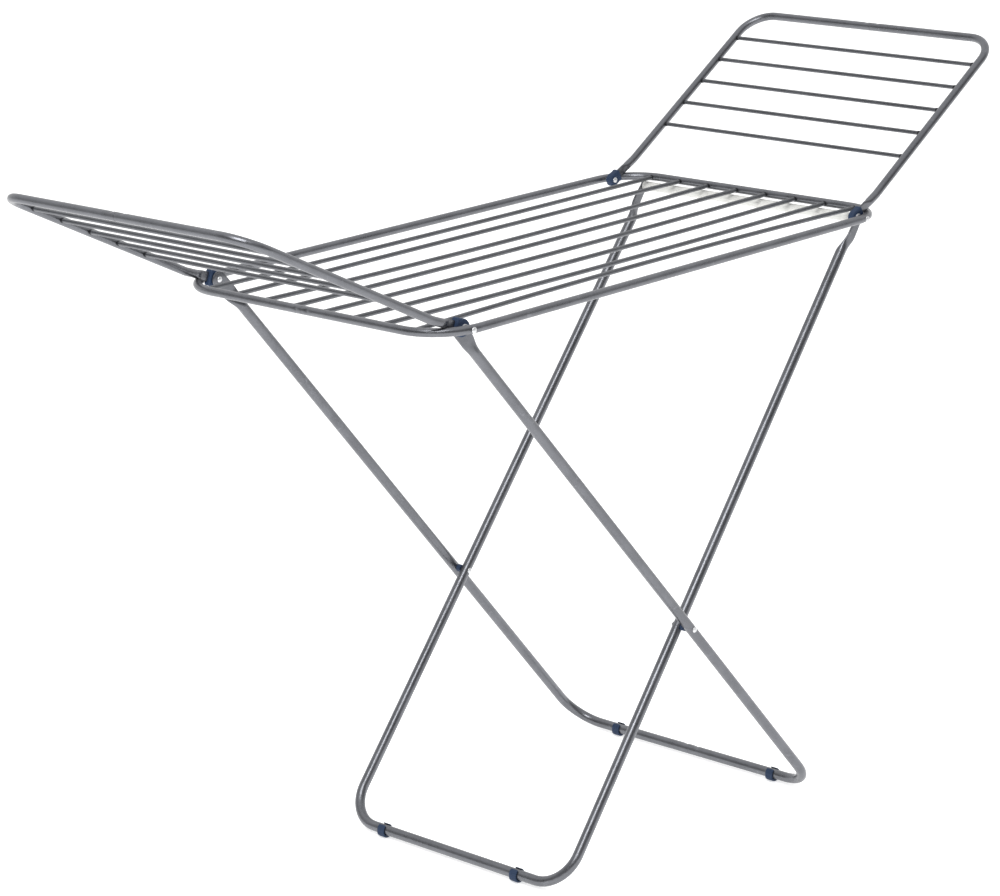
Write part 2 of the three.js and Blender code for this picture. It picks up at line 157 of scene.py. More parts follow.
class AirerWingSizes(bpy.types.PropertyGroup):
    """Sizes of the two wings."""

    tube: size("Wing tube", "Outside diameter", 0.013)
    corner: size("Corner", "Bend radius of the tube's axis", 0.048)
    length: size("Length", "Pivot to the outer tube's axis", 0.434)
    width: size("Width", "Between the axes of the arms", 0.498)
    drop: size("Drop", "How far the arm passes under its pivot", 0.0068)
    tongue_bend: slope("Tongue bend", "Bend between tongue and arm", 6.5)
    left_rise: slope("Left rise", "Slope of the left wing", 27.1)
    right_rise: slope("Right rise", "Slope of the right wing", 32)
    tongue: size("Tongue", "Width of the arm's pressed end", 0.015)
    tongue_flat: size("Tongue flat", "Pivot to where the tongue starts to open", 0.027)
    tongue_round: size("Tongue round", "Pivot to where the arm is round", 0.043)
    rod: size("Rod", "Rod diameter", 0.0065)


class AirerLegSizes(bpy.types.PropertyGroup):
    """Sizes of the two legs."""

    tube: size("Leg tube", "Outside diameter", 0.016)
    corner: size("Corner", "Bend radius at the feet", 0.056)
    outer_top: size("Outer top", "Between the outer leg's axes at its hinges", 0.4716)
    outer_foot: size("Outer foot", "Between the outer leg's axes at its foot", 0.5064)
    inner_top: size("Inner top", "Between the inner leg's axes at its bar", 0.4288)
    inner_foot: size("Inner foot", "Between the inner leg's axes at its foot", 0.4532)
    outer_plate: size("Outer plate", "Width of the outer leg's pressed ends", 0.025)
    inner_plate: size("Inner plate", "Width of the inner leg's pressed ends", 0.018)
    plate_flat: size("Plate flat", "Pivot to where the plate starts to open", 0.030)
    plate_round: size("Plate round", "Pivot to where the leg is round", 0.062)
    bar: size("Top bar", "Diameter", 0.015)


class AirerSmallSizes(bpy.types.PropertyGroup):
    """Sizes of the rivets, caps and clips."""

    plate: size("Pressed end", "Thickness of a flattened tube end", 0.003)
    gap: size("Running gap", "Left between pieces that turn on each other", 0.0003)
    rivet_head: size("Rivet head", "Diameter", 0.009)
    rivet_rise: size("Rivet rise", "Height of the head", 0.002)
    shank: size("Rivet shank", "Diameter", 0.0054)
    left_cap: size("Left cap", "Radius of a left cap's round end", 0.013)
    right_cap: size("Right cap", "Radius of a right cap's round end", 0.0105)
    cap_length: size("Cap length", "Pivot to the cap's mouth", 0.016)
    cap_thickness: size("Cap thickness", "Across the airer", 0.012)
    clip_width: size("Clip width", "Along the foot bar", 0.014)
    clip_floor: size("Clip floor", "Thickness under the foot bar", 0.004)
    clip_wall: size("Clip wall", "Thickness of the clip's cheeks", 0.002)
    around: IntProperty(
        name="Points around", description="Points round a tube", default=32, min=8, max=96
    )


class AirerColours(bpy.types.PropertyGroup):
    """Colours of the finishes."""

    tube: colour("Tube", "Silver lacquer", 0.15, 0.154, 0.168)
    rod: colour("Rod", "Lacquer on the rods", 0.115, 0.119, 0.13)
    rivet: colour("Rivet", "Bare steel", 0.3, 0.31, 0.32)
    cap: colour("Plastic", "Caps, clips and spacers", 0.0012, 0.0125, 0.034)
    bar: colour("Top bar", "Pale satin bar", 0.78, 0.78, 0.75)


class AirerStageSettings(bpy.types.PropertyGroup):
    """Floor, light and camera."""

    floor: size("Floor", "Half the side of the floor", 9)
    sky: FloatProperty(
        name="Sky", description="Strength of the even light all round", default=1.0, min=0
    )
    shade: FloatProperty(
        name="Shade", description="How bright the near side of the room is", default=0.22, min=0
    )
    key: FloatProperty(name="Key", description="Power of the key light in watts", default=80)
    camera_place: FloatVectorProperty(
        name="Camera place", description="Where the camera stands", size=3,
        subtype="TRANSLATION", default=(-3.74155511, -3.45690931, 2.0537899),
    )
    camera_turn: FloatVectorProperty(
        name="Camera turn", description="How the camera is turned", size=3, subtype="EULER",
        default=(1.2935962, 0.0278543, -0.8194785),
    )
    lens: FloatProperty(
        name="Lens", description="Focal length in millimetres on a 36 mm sensor",
        default=124.7276,
    )


def sizes(context):
    """The property groups of sizes, in order: rack, wing, leg, small."""
    scene = context.scene
    return scene.airer_rack, scene.airer_wing, scene.airer_leg, scene.airer_small


# Surfaces.


def smooth(value):
    """3v^2 - 2v^3 of a value held between 0 and 1."""
    value = np.clip(value, 0, 1)
    return value * value * (3 - 2 * value)


def unit(vectors):
    """Each vector divided by its length."""
    return vectors / np.linalg.norm(vectors, axis=-1, keepdims=True)


def runs_of(corners):
    """Lengths and headings of the runs between corners, and each corner's turn, the arc cosine
    of the dot product of the headings either side."""
    runs = np.diff(np.array(corners, float), axis=0)
    heads = unit(runs)
    turns = np.arccos(np.clip(np.sum(heads[:-1] * heads[1:], axis=1), -1, 1))
    return np.linalg.norm(runs, axis=1), heads, turns


def line_length(corners, radius):
    """The runs' lengths less, at each corner, twice the setback r tan(a/2), plus its arc r a."""
    lengths, _, turns = runs_of(corners)
    return lengths.sum() + np.sum(radius * (turns - 2 * np.tan(turns / 2)))


def follow(corners, radius, distance):
    """Places and headings at distances along straight runs joined by arcs.

    On a straight run the place is start + d * heading. On a bend of radius r, after an arc of
    angle a, it is start + r sin(a) * heading + r (1 - cos(a)) * inward, and the heading turns to
    cos(a) * heading + sin(a) * inward.
    """
    lengths, heads, turns = runs_of(corners)
    setbacks = np.concatenate([[0], radius * np.tan(turns / 2), [0]])
    places = np.empty((len(distance), 3))
    headings = np.empty((len(distance), 3))
    start, place = 0.0, np.array(corners[0], float)
    for i, head in enumerate(heads):
        along = (distance - start)[:, None]
        here = distance >= start - 1e-12 if i else np.full(len(distance), True)
        places[here] = (place + along * head)[here]
        headings[here] = head
        straight = lengths[i] - setbacks[i] - setbacks[i + 1]
        start, place = start + straight, place + straight * head
        if i < len(turns):
            inward = unit(heads[i + 1] - head * np.dot(head, heads[i + 1]))
            angle = ((distance - start) / radius)[:, None]
            here = distance > start
            bend = place + radius * (np.sin(angle) * head + (1 - np.cos(angle)) * inward)
            places[here] = bend[here]
            headings[here] = (np.cos(angle) * head + np.sin(angle) * inward)[here]
            end = turns[i]
            place = place + radius * (np.sin(end) * head + (1 - np.cos(end)) * inward)
            start += radius * end
    return places, headings


def carry(places, headings, width, depth, power=2.0, around=32):
    """A rounded section carried along a path, as a grid of stations by points around.

    The section's width axis is Z less its part along the path, and its depth axis is square to
    both. Its outline is width |cos a|^(2/p) along the first and depth |sin a|^(2/p)
    along the second, each with its own sign, so p = 2 is an ellipse and a larger p is boxier.
    """
    count = len(places)
    width, depth, power = (
        np.broadcast_to(value, (count,))[:, None, None] for value in (width, depth, power)
    )
    up = np.array([0.0, 0.0, 1.0])
    wide = unit(up - headings * (headings @ up)[:, None])
    deep = np.cross(headings, wide)
    angle = (np.arange(around) * 2 * np.pi / around)[None, :, None]
    cosine, sine = np.cos(angle), np.sin(angle)
    outline = width * np.sign(cosine) * np.abs(cosine) ** (2 / power) * wide[:, None, :]
    outline = outline + depth * np.sign(sine) * np.abs(sine) ** (2 / power) * deep[:, None, :]
    return places[:, None, :] + outline


def turned(radii, heights, middle, around):
    """A profile turned round a line along Y: (r cos a, height, r sin a) about the middle."""
    angle = np.arange(around) * 2 * np.pi / around
    radii, heights = np.array(radii)[:, None], np.array(heights)[:, None]
    flat = np.ones(around)[None, :]
    grid = np.stack([radii * np.cos(angle), heights * flat, radii * np.sin(angle)], axis=-1)
    return grid + np.array(middle)


def press(grid, places, distance, marks):
    """Dents in a tube: each point moves towards the path by
    depth * exp(-((d - d0) / length)^2 - (turn from the dent's side / spread)^2)."""
    middle = places[:, None, :]
    outward = unit(grid - middle)
    for at, side, depth, length, spread in marks:
        facing = np.arccos(np.clip(outward @ unit(np.array(side, float)), -1, 1))
        along = ((distance - at) / length)[:, None]
        amount = depth * np.exp(-along**2 - (facing / spread) ** 2)
        grid = grid - amount[..., None] * outward
    return grid


def place(points, origin, turn=0.0, half_round=False):
    """Turned about Y by `turn`, then half round about Z if asked, then moved to the origin."""
    x, y, z = points[..., 0], points[..., 1], points[..., 2]
    cosine, sine = math.cos(turn), math.sin(turn)
    moved = np.stack([x * cosine + z * sine, y, z * cosine - x * sine], axis=-1)
    if half_round:
        moved = moved * np.array([-1.0, -1.0, 1.0])
    return moved + np.array(origin)


def surface(context, node, grid, slot_name, loop=False, seats=None):
    """Makes a closed mesh from a grid: four-sided faces between neighbours, wrapped round, and
    each end drawn in to the mean of its ring, or the last ring joined to the first. The faces
    are turned over if their tetrahedra from the mean point sum to a negative volume."""
    rings, around = grid.shape[:2]
    points = grid.reshape(-1, 3)
    index = np.arange(rings * around).reshape(rings, around)
    right = np.roll(index, -1, axis=1)
    rows = np.arange(rings if loop else rings - 1)
    after = (rows + 1) % rings
    quads = np.stack([index[rows], right[rows], right[after], index[after]], axis=-1)
    quads = quads.reshape(-1, 4)
    caps = np.empty((0, 3), int)
    if not loop:
        first = np.full(around, len(points))
        last = first + 1
        ends = np.stack([grid[0].mean(axis=0), grid[-1].mean(axis=0)])
        points = np.concatenate([points, ends])
        caps = np.concatenate([
            np.stack([right[0], index[0], first], axis=-1),
            np.stack([index[-1], right[-1], last], axis=-1),
        ])
    corners = np.concatenate([quads[:, [0, 1, 2]], quads[:, [0, 2, 3]], caps])
    a, b, c = (points[corners[:, k]] - points.mean(axis=0) for k in range(3))
    if np.sum(a * np.cross(b, c)) < 0:
        quads, caps = quads[:, ::-1], caps[:, ::-1]
    mesh = bpy.data.meshes.new(f"{node}_surface")
    mesh.from_pydata(points, [], [*quads.tolist(), *caps.tolist()])
    # The seat attribute weights the painted shade where a rod enters a tube.
    if seats is not None:
        shade = mesh.attributes.new("seat", "FLOAT", "POINT")
        values = np.zeros(len(points), np.float32)
        values[: rings * around] = np.repeat(seats, around)
        shade.data.foreach_set("value", values)
    mesh.polygons.foreach_set("use_smooth", np.full(len(mesh.polygons), True))
    mesh.set_sharp_from_angle(angle=SMOOTH_ANGLE)
    mesh.validate()
    mesh.materials.append(finish_named(context, FINISH_OF[slot_name]))
    piece = bpy.data.objects.new(f"{node}_surface", mesh)
    context.scene.collection.objects.link(piece)
    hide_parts(node)
    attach(piece, BODY_OF[node])


def stations(*parts):
    """The given distances in order, each once."""
    return np.unique(np.round(np.concatenate([np.atleast_1d(part) for part in parts]), 7))


def arcs(corners, radius, steps):
    """Distances at even steps along each bend of a bent line."""
    lengths, _, turns = runs_of(corners)
    setbacks = radius * np.tan(turns / 2)
    starts = np.cumsum(lengths[:-1] + np.concatenate([[0], (radius * turns - 2 * setbacks)[:-1]]))
    starts = starts - setbacks
    fractions = np.linspace(0, 1, steps)
    return (starts[:, None] + radius * turns[:, None] * fractions).ravel()


def round_end(past, radius):
    """Half the width of a flat end that is half a circle: sqrt(r^2 - d^2) before its centre, and
    r beyond it."""
    return np.sqrt(np.clip(radius**2 - np.minimum(past, 0) ** 2, TIP_FLOOR, None))


def tip_stations(lead, count):
    """Distances r (1 - cos a) at even angles round that half circle, closer towards its end."""
    return lead * (1 - np.cos(np.linspace(FIRST_TIP, np.pi / 2, count)))


def square_end(grid, headings, inset):
    """Adds a narrower ring just beyond each end, so that a cut end has a small round edge."""
    first, last = grid[0].mean(axis=0), grid[-1].mean(axis=0)
    before = first + (grid[0] - first) * (1 - inset * 90) - headings[0] * inset
    after = last + (grid[-1] - last) * (1 - inset * 90) + headings[-1] * inset
    return np.concatenate([before[None], grid, after[None]])


def off_the_bends(context, points, hinge, lifts):
    """Points that would enter the rack's tube where it bends beside a hinge are moved out to its
    surface. The bend's axis is a quarter circle, so a point's distance from it is the hypotenuse
    of (distance from the circle's middle - radius) and its height over the rack. This is done
    with the points turned about the hinge by each of the lifts."""
    rack, _, _, small = sizes(context)
    side = math.copysign(1, hinge[0] - RACK_MIDDLE[0])
    low, high = corners_of("main_frame_tube")
    reach = (high[0] - low[0]) / 2 - rack.tube / 2 - rack.corner
    across = high[1] - rack.tube / 2 - rack.corner
    clear = rack.tube / 2 + small.gap / 2
    for lift in lifts:
        turn = -side * lift
        moved = place(points - hinge, hinge, turn)
        centre = np.stack([
            np.full(moved.shape[:-1], RACK_MIDDLE[0] + side * reach),
            np.sign(moved[..., 1]) * across,
            np.full(moved.shape[:-1], hinge[2]),
        ], axis=-1)
        flat = (moved - centre) * np.array([1.0, 1.0, 0.0])
        beyond = flat[..., 0] * side > 0
        spoke = np.where(beyond[..., None], flat, flat * np.array([0.0, 1.0, 0.0]))
        axis = centre + np.where(beyond[..., None], 0.0, flat * np.array([1.0, 0.0, 0.0]))
        axis = axis + rack.corner * unit(spoke + 1e-12)
        away = moved - axis
        distance = np.linalg.norm(away, axis=-1, keepdims=True)
        inside = distance < clear
        moved = np.where(inside, axis + away / np.maximum(distance, 1e-9) * clear, moved)
        points = place(moved - hinge, hinge, -turn)
    return points


# Finishes.


class Shade:
    """A socket of a material in the making; arithmetic on it adds Math nodes."""

    def __init__(self, finish, socket):
        self.finish = finish
        self.socket = socket

    def math(self, operation, first, second):
        return self.finish.add("ShaderNodeMath", {"operation": operation}, {0: first, 1: second})

    def __add__(self, other):
        return self.math("ADD", self, other)

    def __sub__(self, other):
        return self.math("SUBTRACT", self, other)

    def __rsub__(self, other):
        return self.math("SUBTRACT", other, self)

    def __mul__(self, other):
        return self.math("MULTIPLY", self, other)

    __radd__ = __add__
    __rmul__ = __mul__


class Finish:
    """A procedural material round one Principled BSDF."""

    def __init__(self, name):
        self.material = bpy.data.materials.new(name)
        self.material.use_nodes = True
        self.tree = self.material.node_tree
        self.tree.nodes.clear()
        self.shader = self.tree.nodes.new("ShaderNodeBsdfPrincipled")
        output = self.tree.nodes.new("ShaderNodeOutputMaterial")
        self.tree.links.new(self.shader.outputs["BSDF"], output.inputs["Surface"])
        coordinates = self.tree.nodes.new("ShaderNodeTexCoord")
        self.place = Shade(self, coordinates.outputs["Object"])

    def put(self, socket, value):
        """Links a shade to a socket, or sets the socket to a number or colour."""
        if isinstance(value, Shade):
            self.tree.links.new(value.socket, socket)
        else:
            socket.default_value = value

    def add(self, kind, settings, sockets, output=0):
        """One node: its settings first, then the values or links of its sockets."""
        node = self.tree.nodes.new(kind)
        for name, value in settings.items():
            setattr(node, name, value)
        for name, value in sockets.items():
            self.put(node.inputs[name], value)
        return Shade(self, node.outputs[output])

    def noise(self, scale, detail=2.0, roughness=0.5, stretch=(1, 1, 1)):
        """Noise of that many waves a metre, from 0 to 1."""
        vector = self.add(
            "ShaderNodeVectorMath", {"operation": "MULTIPLY"}, {0: self.place, 1: stretch}
        )
        sockets = {"Vector": vector, "Scale": scale, "Detail": detail, "Roughness": roughness}
        return self.add("ShaderNodeTexNoise", {}, sockets)

    def over(self, value, low, high, to_low=0.0, to_high=1.0):
        """A smooth step from one level to the other, as the value goes from low to high."""
        sockets = {"Value": value, "From Min": low, "From Max": high}
        sockets.update({"To Min": to_low, "To Max": to_high})
        return self.add("ShaderNodeMapRange", {"interpolation_type": "SMOOTHSTEP"}, sockets)

    def blend(self, factor, first, second):
        """The first colour times (1 - factor), plus the second times the factor."""
        node = self.tree.nodes.new("ShaderNodeMix")
        node.data_type = "RGBA"
        colours = {"A": first, "B": second}
        for socket in node.inputs:
            if socket.name == "Factor" and socket.type == "VALUE" and socket.enabled:
                self.put(socket, factor)
            if socket.name in colours and socket.type == "RGBA":
                self.put(socket, colours[socket.name])
        return Shade(self, next(s for s in node.outputs if s.type == "RGBA"))

    def bump(self, height, strength, distance, before=None):
        """A normal tilted by the slope of a height, on top of an earlier one if given."""
        sockets = {"Height": height, "Strength": strength, "Distance": distance}
        if before is not None:
            sockets["Normal"] = before
        return self.add("ShaderNodeBump", {}, sockets)

    def wear(self, **sockets):
        """Feeds the shader's sockets, named with _ for each space, and gives the material."""
        for name, value in sockets.items():
            self.put(self.shader.inputs[name.replace("_", " ")], value)
        return self.material


def tinted(colour, factor):
    """A colour made lighter or darker by a factor."""
    return (*(min(1.0, channel * factor) for channel in colour[:3]), 1.0)


def lacquer(name, colour, seated):
    """Silver lacquer: fine metallic flake, soft cloudy patches, faint runs along X and rubbed
    spots where it is a little brighter and smoother. Where a rod sits in a tube, shown by its
    `seat` attribute, painted shade darkens it for the shadow in the hole it enters, and it is duller."""
    finish = Finish(name)
    cloud = finish.over(finish.noise(26, 3.0), 0.34, 0.68)
    flake = finish.over(finish.noise(1500, 2.0, 0.7), 0.3, 0.72)
    rub = finish.over(finish.noise(75, 5.0, 0.62), 0.61, 0.71)
    run = finish.over(finish.noise(240, 3.0, 0.6, (0.12, 1, 1)), 0.35, 0.7)
    base = finish.blend(cloud, tinted(colour, 0.87), tinted(colour, 1.1))
    base = finish.blend(flake * 0.42, base, tinted(colour, 1.55))
    base = finish.blend(rub * 0.35, base, tinted(colour, 1.75))
    rough = 0.24 + cloud * 0.05 + flake * 0.07 + run * 0.05 - rub * 0.07
    metal = 0.92 - flake * 0.1
    if seated:
        # Painted shade: near black where the rod enters a tube, standing in for the shadow in the hole.
        seat = finish.add("ShaderNodeAttribute", {"attribute_name": "seat"}, {}, 2)
        painted_gap_shade = finish.over(seat + finish.noise(420, 4.0, 0.65) * 0.5, 0.55, 0.95)
        base = finish.blend(painted_gap_shade * 0.9, base, (0.02, 0.021, 0.025, 1))
        rough = rough + painted_gap_shade * 0.3
    grain = finish.bump(flake, 0.12, 0.00012)
    peel = finish.bump(finish.noise(430, 3.0), 0.12, 0.0003, grain)
    return finish.wear(
        Base_Color=base, Roughness=rough, Metallic=metal, Normal=peel, Coat_Weight=0.12,
        Coat_Roughness=0.2,
    )


def rivet_steel(name, colour):
    """Bare steel: cloudy, with short scratches two ways and a dull film in its hollows."""
    finish = Finish(name)
    film = finish.over(finish.noise(300, 4.0, 0.6), 0.45, 0.7)
    scratch = finish.over(finish.noise(900, 3.0, 0.6, (0.15, 1, 1)), 0.5, 0.64)
    across = finish.over(finish.noise(900, 3.0, 0.6, (1, 1, 0.15)), 0.52, 0.66)
    base = finish.blend(film * 0.55, colour, tinted(colour, 0.6))
    base = finish.blend(scratch * 0.4, base, tinted(colour, 1.3))
    rough = 0.22 + film * 0.18 + across * 0.1
    normal = finish.bump(scratch + across, 0.25, 0.00008)
    return finish.wear(Base_Color=base, Roughness=rough, Metallic=0.96, Normal=normal)


def moulded(name, colour):
    """Moulded plastic: a spark-eroded grain, paler scuffs on it and a faint bloom."""
    finish = Finish(name)
    grain = finish.over(finish.noise(2100, 2.0, 0.6), 0.32, 0.7)
    scuff = finish.over(finish.noise(240, 5.0, 0.66), 0.57, 0.72)
    bloom = finish.over(finish.noise(60, 2.0), 0.35, 0.7)
    base = finish.blend(bloom * 0.6, colour, tinted(colour, 1.7))
    base = finish.blend(scuff * 0.25, base, (0.012, 0.035, 0.065, 1))
    rough = 0.4 + grain * 0.1 + scuff * 0.16
    normal = finish.bump(grain, 0.3, 0.00012)
    return finish.wear(
        Base_Color=base, Roughness=rough, Metallic=0.0, Normal=normal, Specular_IOR_Level=0.2
    )


def satin(name, colour):
    """A pale satin coat: soft patches, rub marks along its length and small grey specks."""
    finish = Finish(name)
    patch = finish.over(finish.noise(40, 3.0), 0.35, 0.7)
    rub = finish.over(finish.noise(500, 4.0, 0.6, (1, 0.08, 1)), 0.52, 0.68)
    speck = finish.over(finish.noise(700, 2.0), 0.7, 0.76)
    base = finish.blend(patch, tinted(colour, 0.93), colour)
    base = finish.blend(rub * 0.22, base, tinted(colour, 0.72))
    base = finish.blend(speck * 0.5, base, (0.3, 0.3, 0.3, 1))
    rough = 0.38 + patch * 0.1 + rub * 0.12
    normal = finish.bump(finish.noise(800, 3.0), 0.15, 0.0001)
    return finish.wear(Base_Color=base, Roughness=rough, Metallic=0.1, Normal=normal)


def floor_paint():
    """Pale matt paint with a faint mottle, glowing a little like a light table."""
    finish = Finish("floor_paint")
    mottle = finish.noise(3, 3.0)
    base = finish.blend(mottle, (0.9, 0.9, 0.9, 1), (0.93, 0.93, 0.93, 1))
    return finish.wear(
        Base_Color=base, Roughness=0.9, Metallic=0.0, Emission_Color=(1, 1, 1, 1),
        Emission_Strength=0.55,
    )


class Sky(Finish):
    """The light all round: white beyond the airer and overhead, darker on the near side, so that
    the tubes are dark in the middle and bright along their edges."""

    def __init__(self, world, strength, dark, away):
        self.tree = world.node_tree
        self.tree.nodes.clear()
        background = self.tree.nodes.new("ShaderNodeBackground")
        background.inputs["Color"].default_value = (1, 1, 1, 1)
        output = self.tree.nodes.new("ShaderNodeOutputWorld")
        self.tree.links.new(background.outputs[0], output.inputs["Surface"])
        direction = Shade(self, self.tree.nodes.new("ShaderNodeTexCoord").outputs["Generated"])
        facing = self.add(
            "ShaderNodeVectorMath", {"operation": "DOT_PRODUCT"}, {0: direction, 1: away}, 1
        )
        height = self.add("ShaderNodeSeparateXYZ", {}, {0: direction}, 2)
        light = self.over(facing, -0.25, 0.45, dark, 1.0)
        light = self.over(height, 0.45, 0.95, light, 1.0)
        seen = self.add("ShaderNodeLightPath", {}, {}, 0)
        level = seen + (1 - seen) * light * strength
        self.put(background.inputs["Strength"], level)


# Each slot's finish, and each finish's maker with the colour and other values it takes.
FINISH_OF = {
    "silver_tube": "silver_lacquer", "silver_rod": "rod_lacquer", "navy_plastic": "navy_plastic",
    "rivet_steel": "rivet_steel", "pale_bar": "pale_satin",
}
MAKERS = {
    "silver_lacquer": (lacquer, "tube", False),
    "rod_lacquer": (lacquer, "rod", True),
    "rivet_steel": (rivet_steel, "rivet"),
    "navy_plastic": (moulded, "cap"),
    "pale_satin": (satin, "bar"),
}


def finish_named(context, name):
    """The material of that name, made the first time it is asked for."""
    made = bpy.data.materials.get(name)
    if made is None:
        maker, chosen, *others = MAKERS[name]
        made = maker(name, tuple(getattr(context.scene.airer_colours, chosen)), *others)
    return made


# Operators.


class AIRER_OT_frame_tube(bpy.types.Operator):
    """Bend the rack's tube round its four corners and butt it at the middle of its left end"""

    bl_idname = "airer.frame_tube"
    bl_label = "Frame Tube"

    def execute(self, context):
        rack, _, _, small = sizes(context)
        low, high = corners_of("main_frame_tube")
        radius = rack.tube / 2
        half, across, gap = (high[0] - low[0]) / 2 - radius, high[1] - radius, small.gap
        corners = [
            (-half, gap, 0), (-half, across, 0), (half, across, 0), (half, -across, 0),
            (-half, -across, 0), (-half, -gap, 0),
        ]
        total = line_length(corners, rack.corner)
        crimp = (-1, 0, 0.15), 0.0011, 0.003, 0.5
        marks = [(CRIMP_INSET, *crimp), (total - CRIMP_INSET, *crimp)]
        distance = stations(
            TUBE_END, total - TUBE_END, arcs(corners, rack.corner, 19), np.linspace(0, total, 60)
        )
        places, headings = follow(corners, rack.corner, distance)
        grid = carry(places, headings, radius, radius, around=small.around)
        grid = press(grid, places, distance, marks)
        grid = square_end(grid, headings, small.gap / 3)
        surface(context, "main_frame_tube", grid + RACK_MIDDLE, "silver_tube")
        return {"FINISHED"}


def rod_swell(distance, length, inside, weld):
    """How much thicker a rod is where it meets the tube at each end, weld times the bell
    exp(-(d / reach)^2) of the distance from the tube's skin, and the weight of its painted seat
    shade, a wider bell that stays at 1 inside the tube."""
    near = np.minimum(distance, length - distance) - inside
    bell = np.exp(-((near / WELD_REACH) ** 2))
    return weld * bell, np.where(near < 0, 1.0, np.exp(-((near / SEAT_REACH) ** 2)))


class AIRER_OT_main_rods(bpy.types.Operator):
    """Hang each rod of the rack along its own parabola: z = -sag (1 - s^2), s from -1 to 1"""

    bl_idname = "airer.main_rods"
    bl_label = "Main Rods"

    def execute(self, context):
        rack = sizes(context)[0]
        radius = rack.rod / 2
        for node in nodes_with("main_rod_"):
            low, high = corners_of(node)
            reach = (high[0] - low[0]) / 2
            level = RACK_MIDDLE[2]
            sag = (level - radius - low[2]) - (high[2] - radius - level)
            length = 2 * reach
            distance = stations(ROD_END, length - ROD_END, np.linspace(0, length, 40))
            s = distance / reach - 1
            places = np.stack([reach * s, 0 * s, -sag * (1 - s * s)], axis=-1)
            headings = unit(np.stack([reach + 0 * s, 0 * s, 2 * sag * s], axis=-1))
            swell, seats = rod_swell(distance, length, rack.tube / 2, rack.weld)
            width = radius + swell
            grid = carry(places, headings, width, width, around=ROD_AROUND)
            grid = grid + np.array([RACK_MIDDLE[0], (low[1] + high[1]) / 2, level])
            surface(context, node, grid, "silver_rod", seats=seats)
        return {"FINISHED"}


def pressed_depth(flat, radius, opened, growth, rounded):
    """Half depth and power of a pressed end's section. The depth goes from the flat's to the
    tube's as opened^growth, and is less round the very tip. The power falls from 5 to 2."""
    depth = (flat + (radius - flat) * opened**growth) * np.clip(rounded, 0.05, 1) ** 0.25
    return depth, 2 + 3 * (1 - opened) ** 4


def arms(wing):
    """For each hinge: its side and end of the airer, its pivot, its wing's rise, whether that
    wing is turned half round, and the arm's side in the wing's own axes."""
    for label, hinge in (("left", LEFT_HINGE), ("right", RIGHT_HINGE)):
        rise, half_round = getattr(wing, f"{label}_rise"), label == "left"
        for where, side in SIDES.items():
            yield label, where, hinge, rise, half_round, -side if half_round else side


class AIRER_OT_wings(bpy.types.Operator):
    """Bend each wing's two tubes from a pressed tongue at the hinge to the butt joint between
    them, where the crimps that hold the plug show"""

    bl_idname = "airer.wings"
    bl_label = "Wing Tubes"

    def execute(self, context):
        _, wing, _, small = sizes(context)
        radius, arm, outer = wing.tube / 2, wing.width / 2, wing.length
        lead, drop, bend = wing.tongue / 2, wing.drop, wing.tongue_bend
        for label, where, hinge, rise, turned_round, own in arms(wing):
            corners = [
                (-lead * math.cos(bend), own * arm, lead * math.sin(bend)),
                (drop / math.tan(bend), own * arm, -drop), (outer, own * arm, -drop),
                (outer, own * small.gap, -drop),
            ]
            total = line_length(corners, wing.corner)
            opening = np.linspace(lead + wing.tongue_flat, lead + wing.tongue_round, 18)
            distance = stations(
                tip_stations(lead, 14), opening, arcs(corners, wing.corner, 15),
                total - TUBE_END, np.linspace(lead, total, 26),
            )
            past = distance - lead
            opened = smooth((past - wing.tongue_flat) / (wing.tongue_round - wing.tongue_flat))
            rounded = round_end(past, lead)
            width = rounded + (radius - lead) * opened
            depth, power = pressed_depth(small.plate / 2, radius, opened, 1, rounded / lead)
            places, headings = follow(corners, wing.corner, distance)
            grid = carry(places, headings, width, depth, power, small.around)
            marks = [(total - CRIMP_INSET, (0.5, 0, 1), 0.0013, 0.0028, 0.45)]
            grid = press(grid, places, distance, marks)
            grid = square_end(grid, headings, small.gap / 3)
            grid = place(grid, hinge, -rise, turned_round)
            grid = off_the_bends(context, grid, hinge, [0.0])
            surface(context, f"{label}_wing_tube_{where}", grid, "silver_tube")
        return {"FINISHED"}


class AIRER_OT_wing_rods(bpy.types.Operator):
    """Set the straight rods between each wing's arms"""

    bl_idname = "airer.wing_rods"
    bl_label = "Wing Rods"

    def execute(self, context):
        rack, wing, _, _ = sizes(context)
        for node in nodes_with("_wing_rod_"):
            low, high = corners_of(node)
            length = high[1] - low[1]
            distance = stations(ROD_END, length - ROD_END, np.linspace(0, length, 12))
            swell, seats = rod_swell(distance, length, wing.tube / 2, rack.weld)
            places = np.stack([0 * distance, distance - length / 2, 0 * distance], axis=-1)
            headings = np.tile([0.0, 1.0, 0.0], (len(distance), 1))
            width = wing.rod / 2 + swell
            grid = carry(places, headings, width, width, around=ROD_AROUND)
            grid = grid + middle_of(node)
            surface(context, node, grid, "silver_rod", seats=seats)
        return {"FINISHED"}


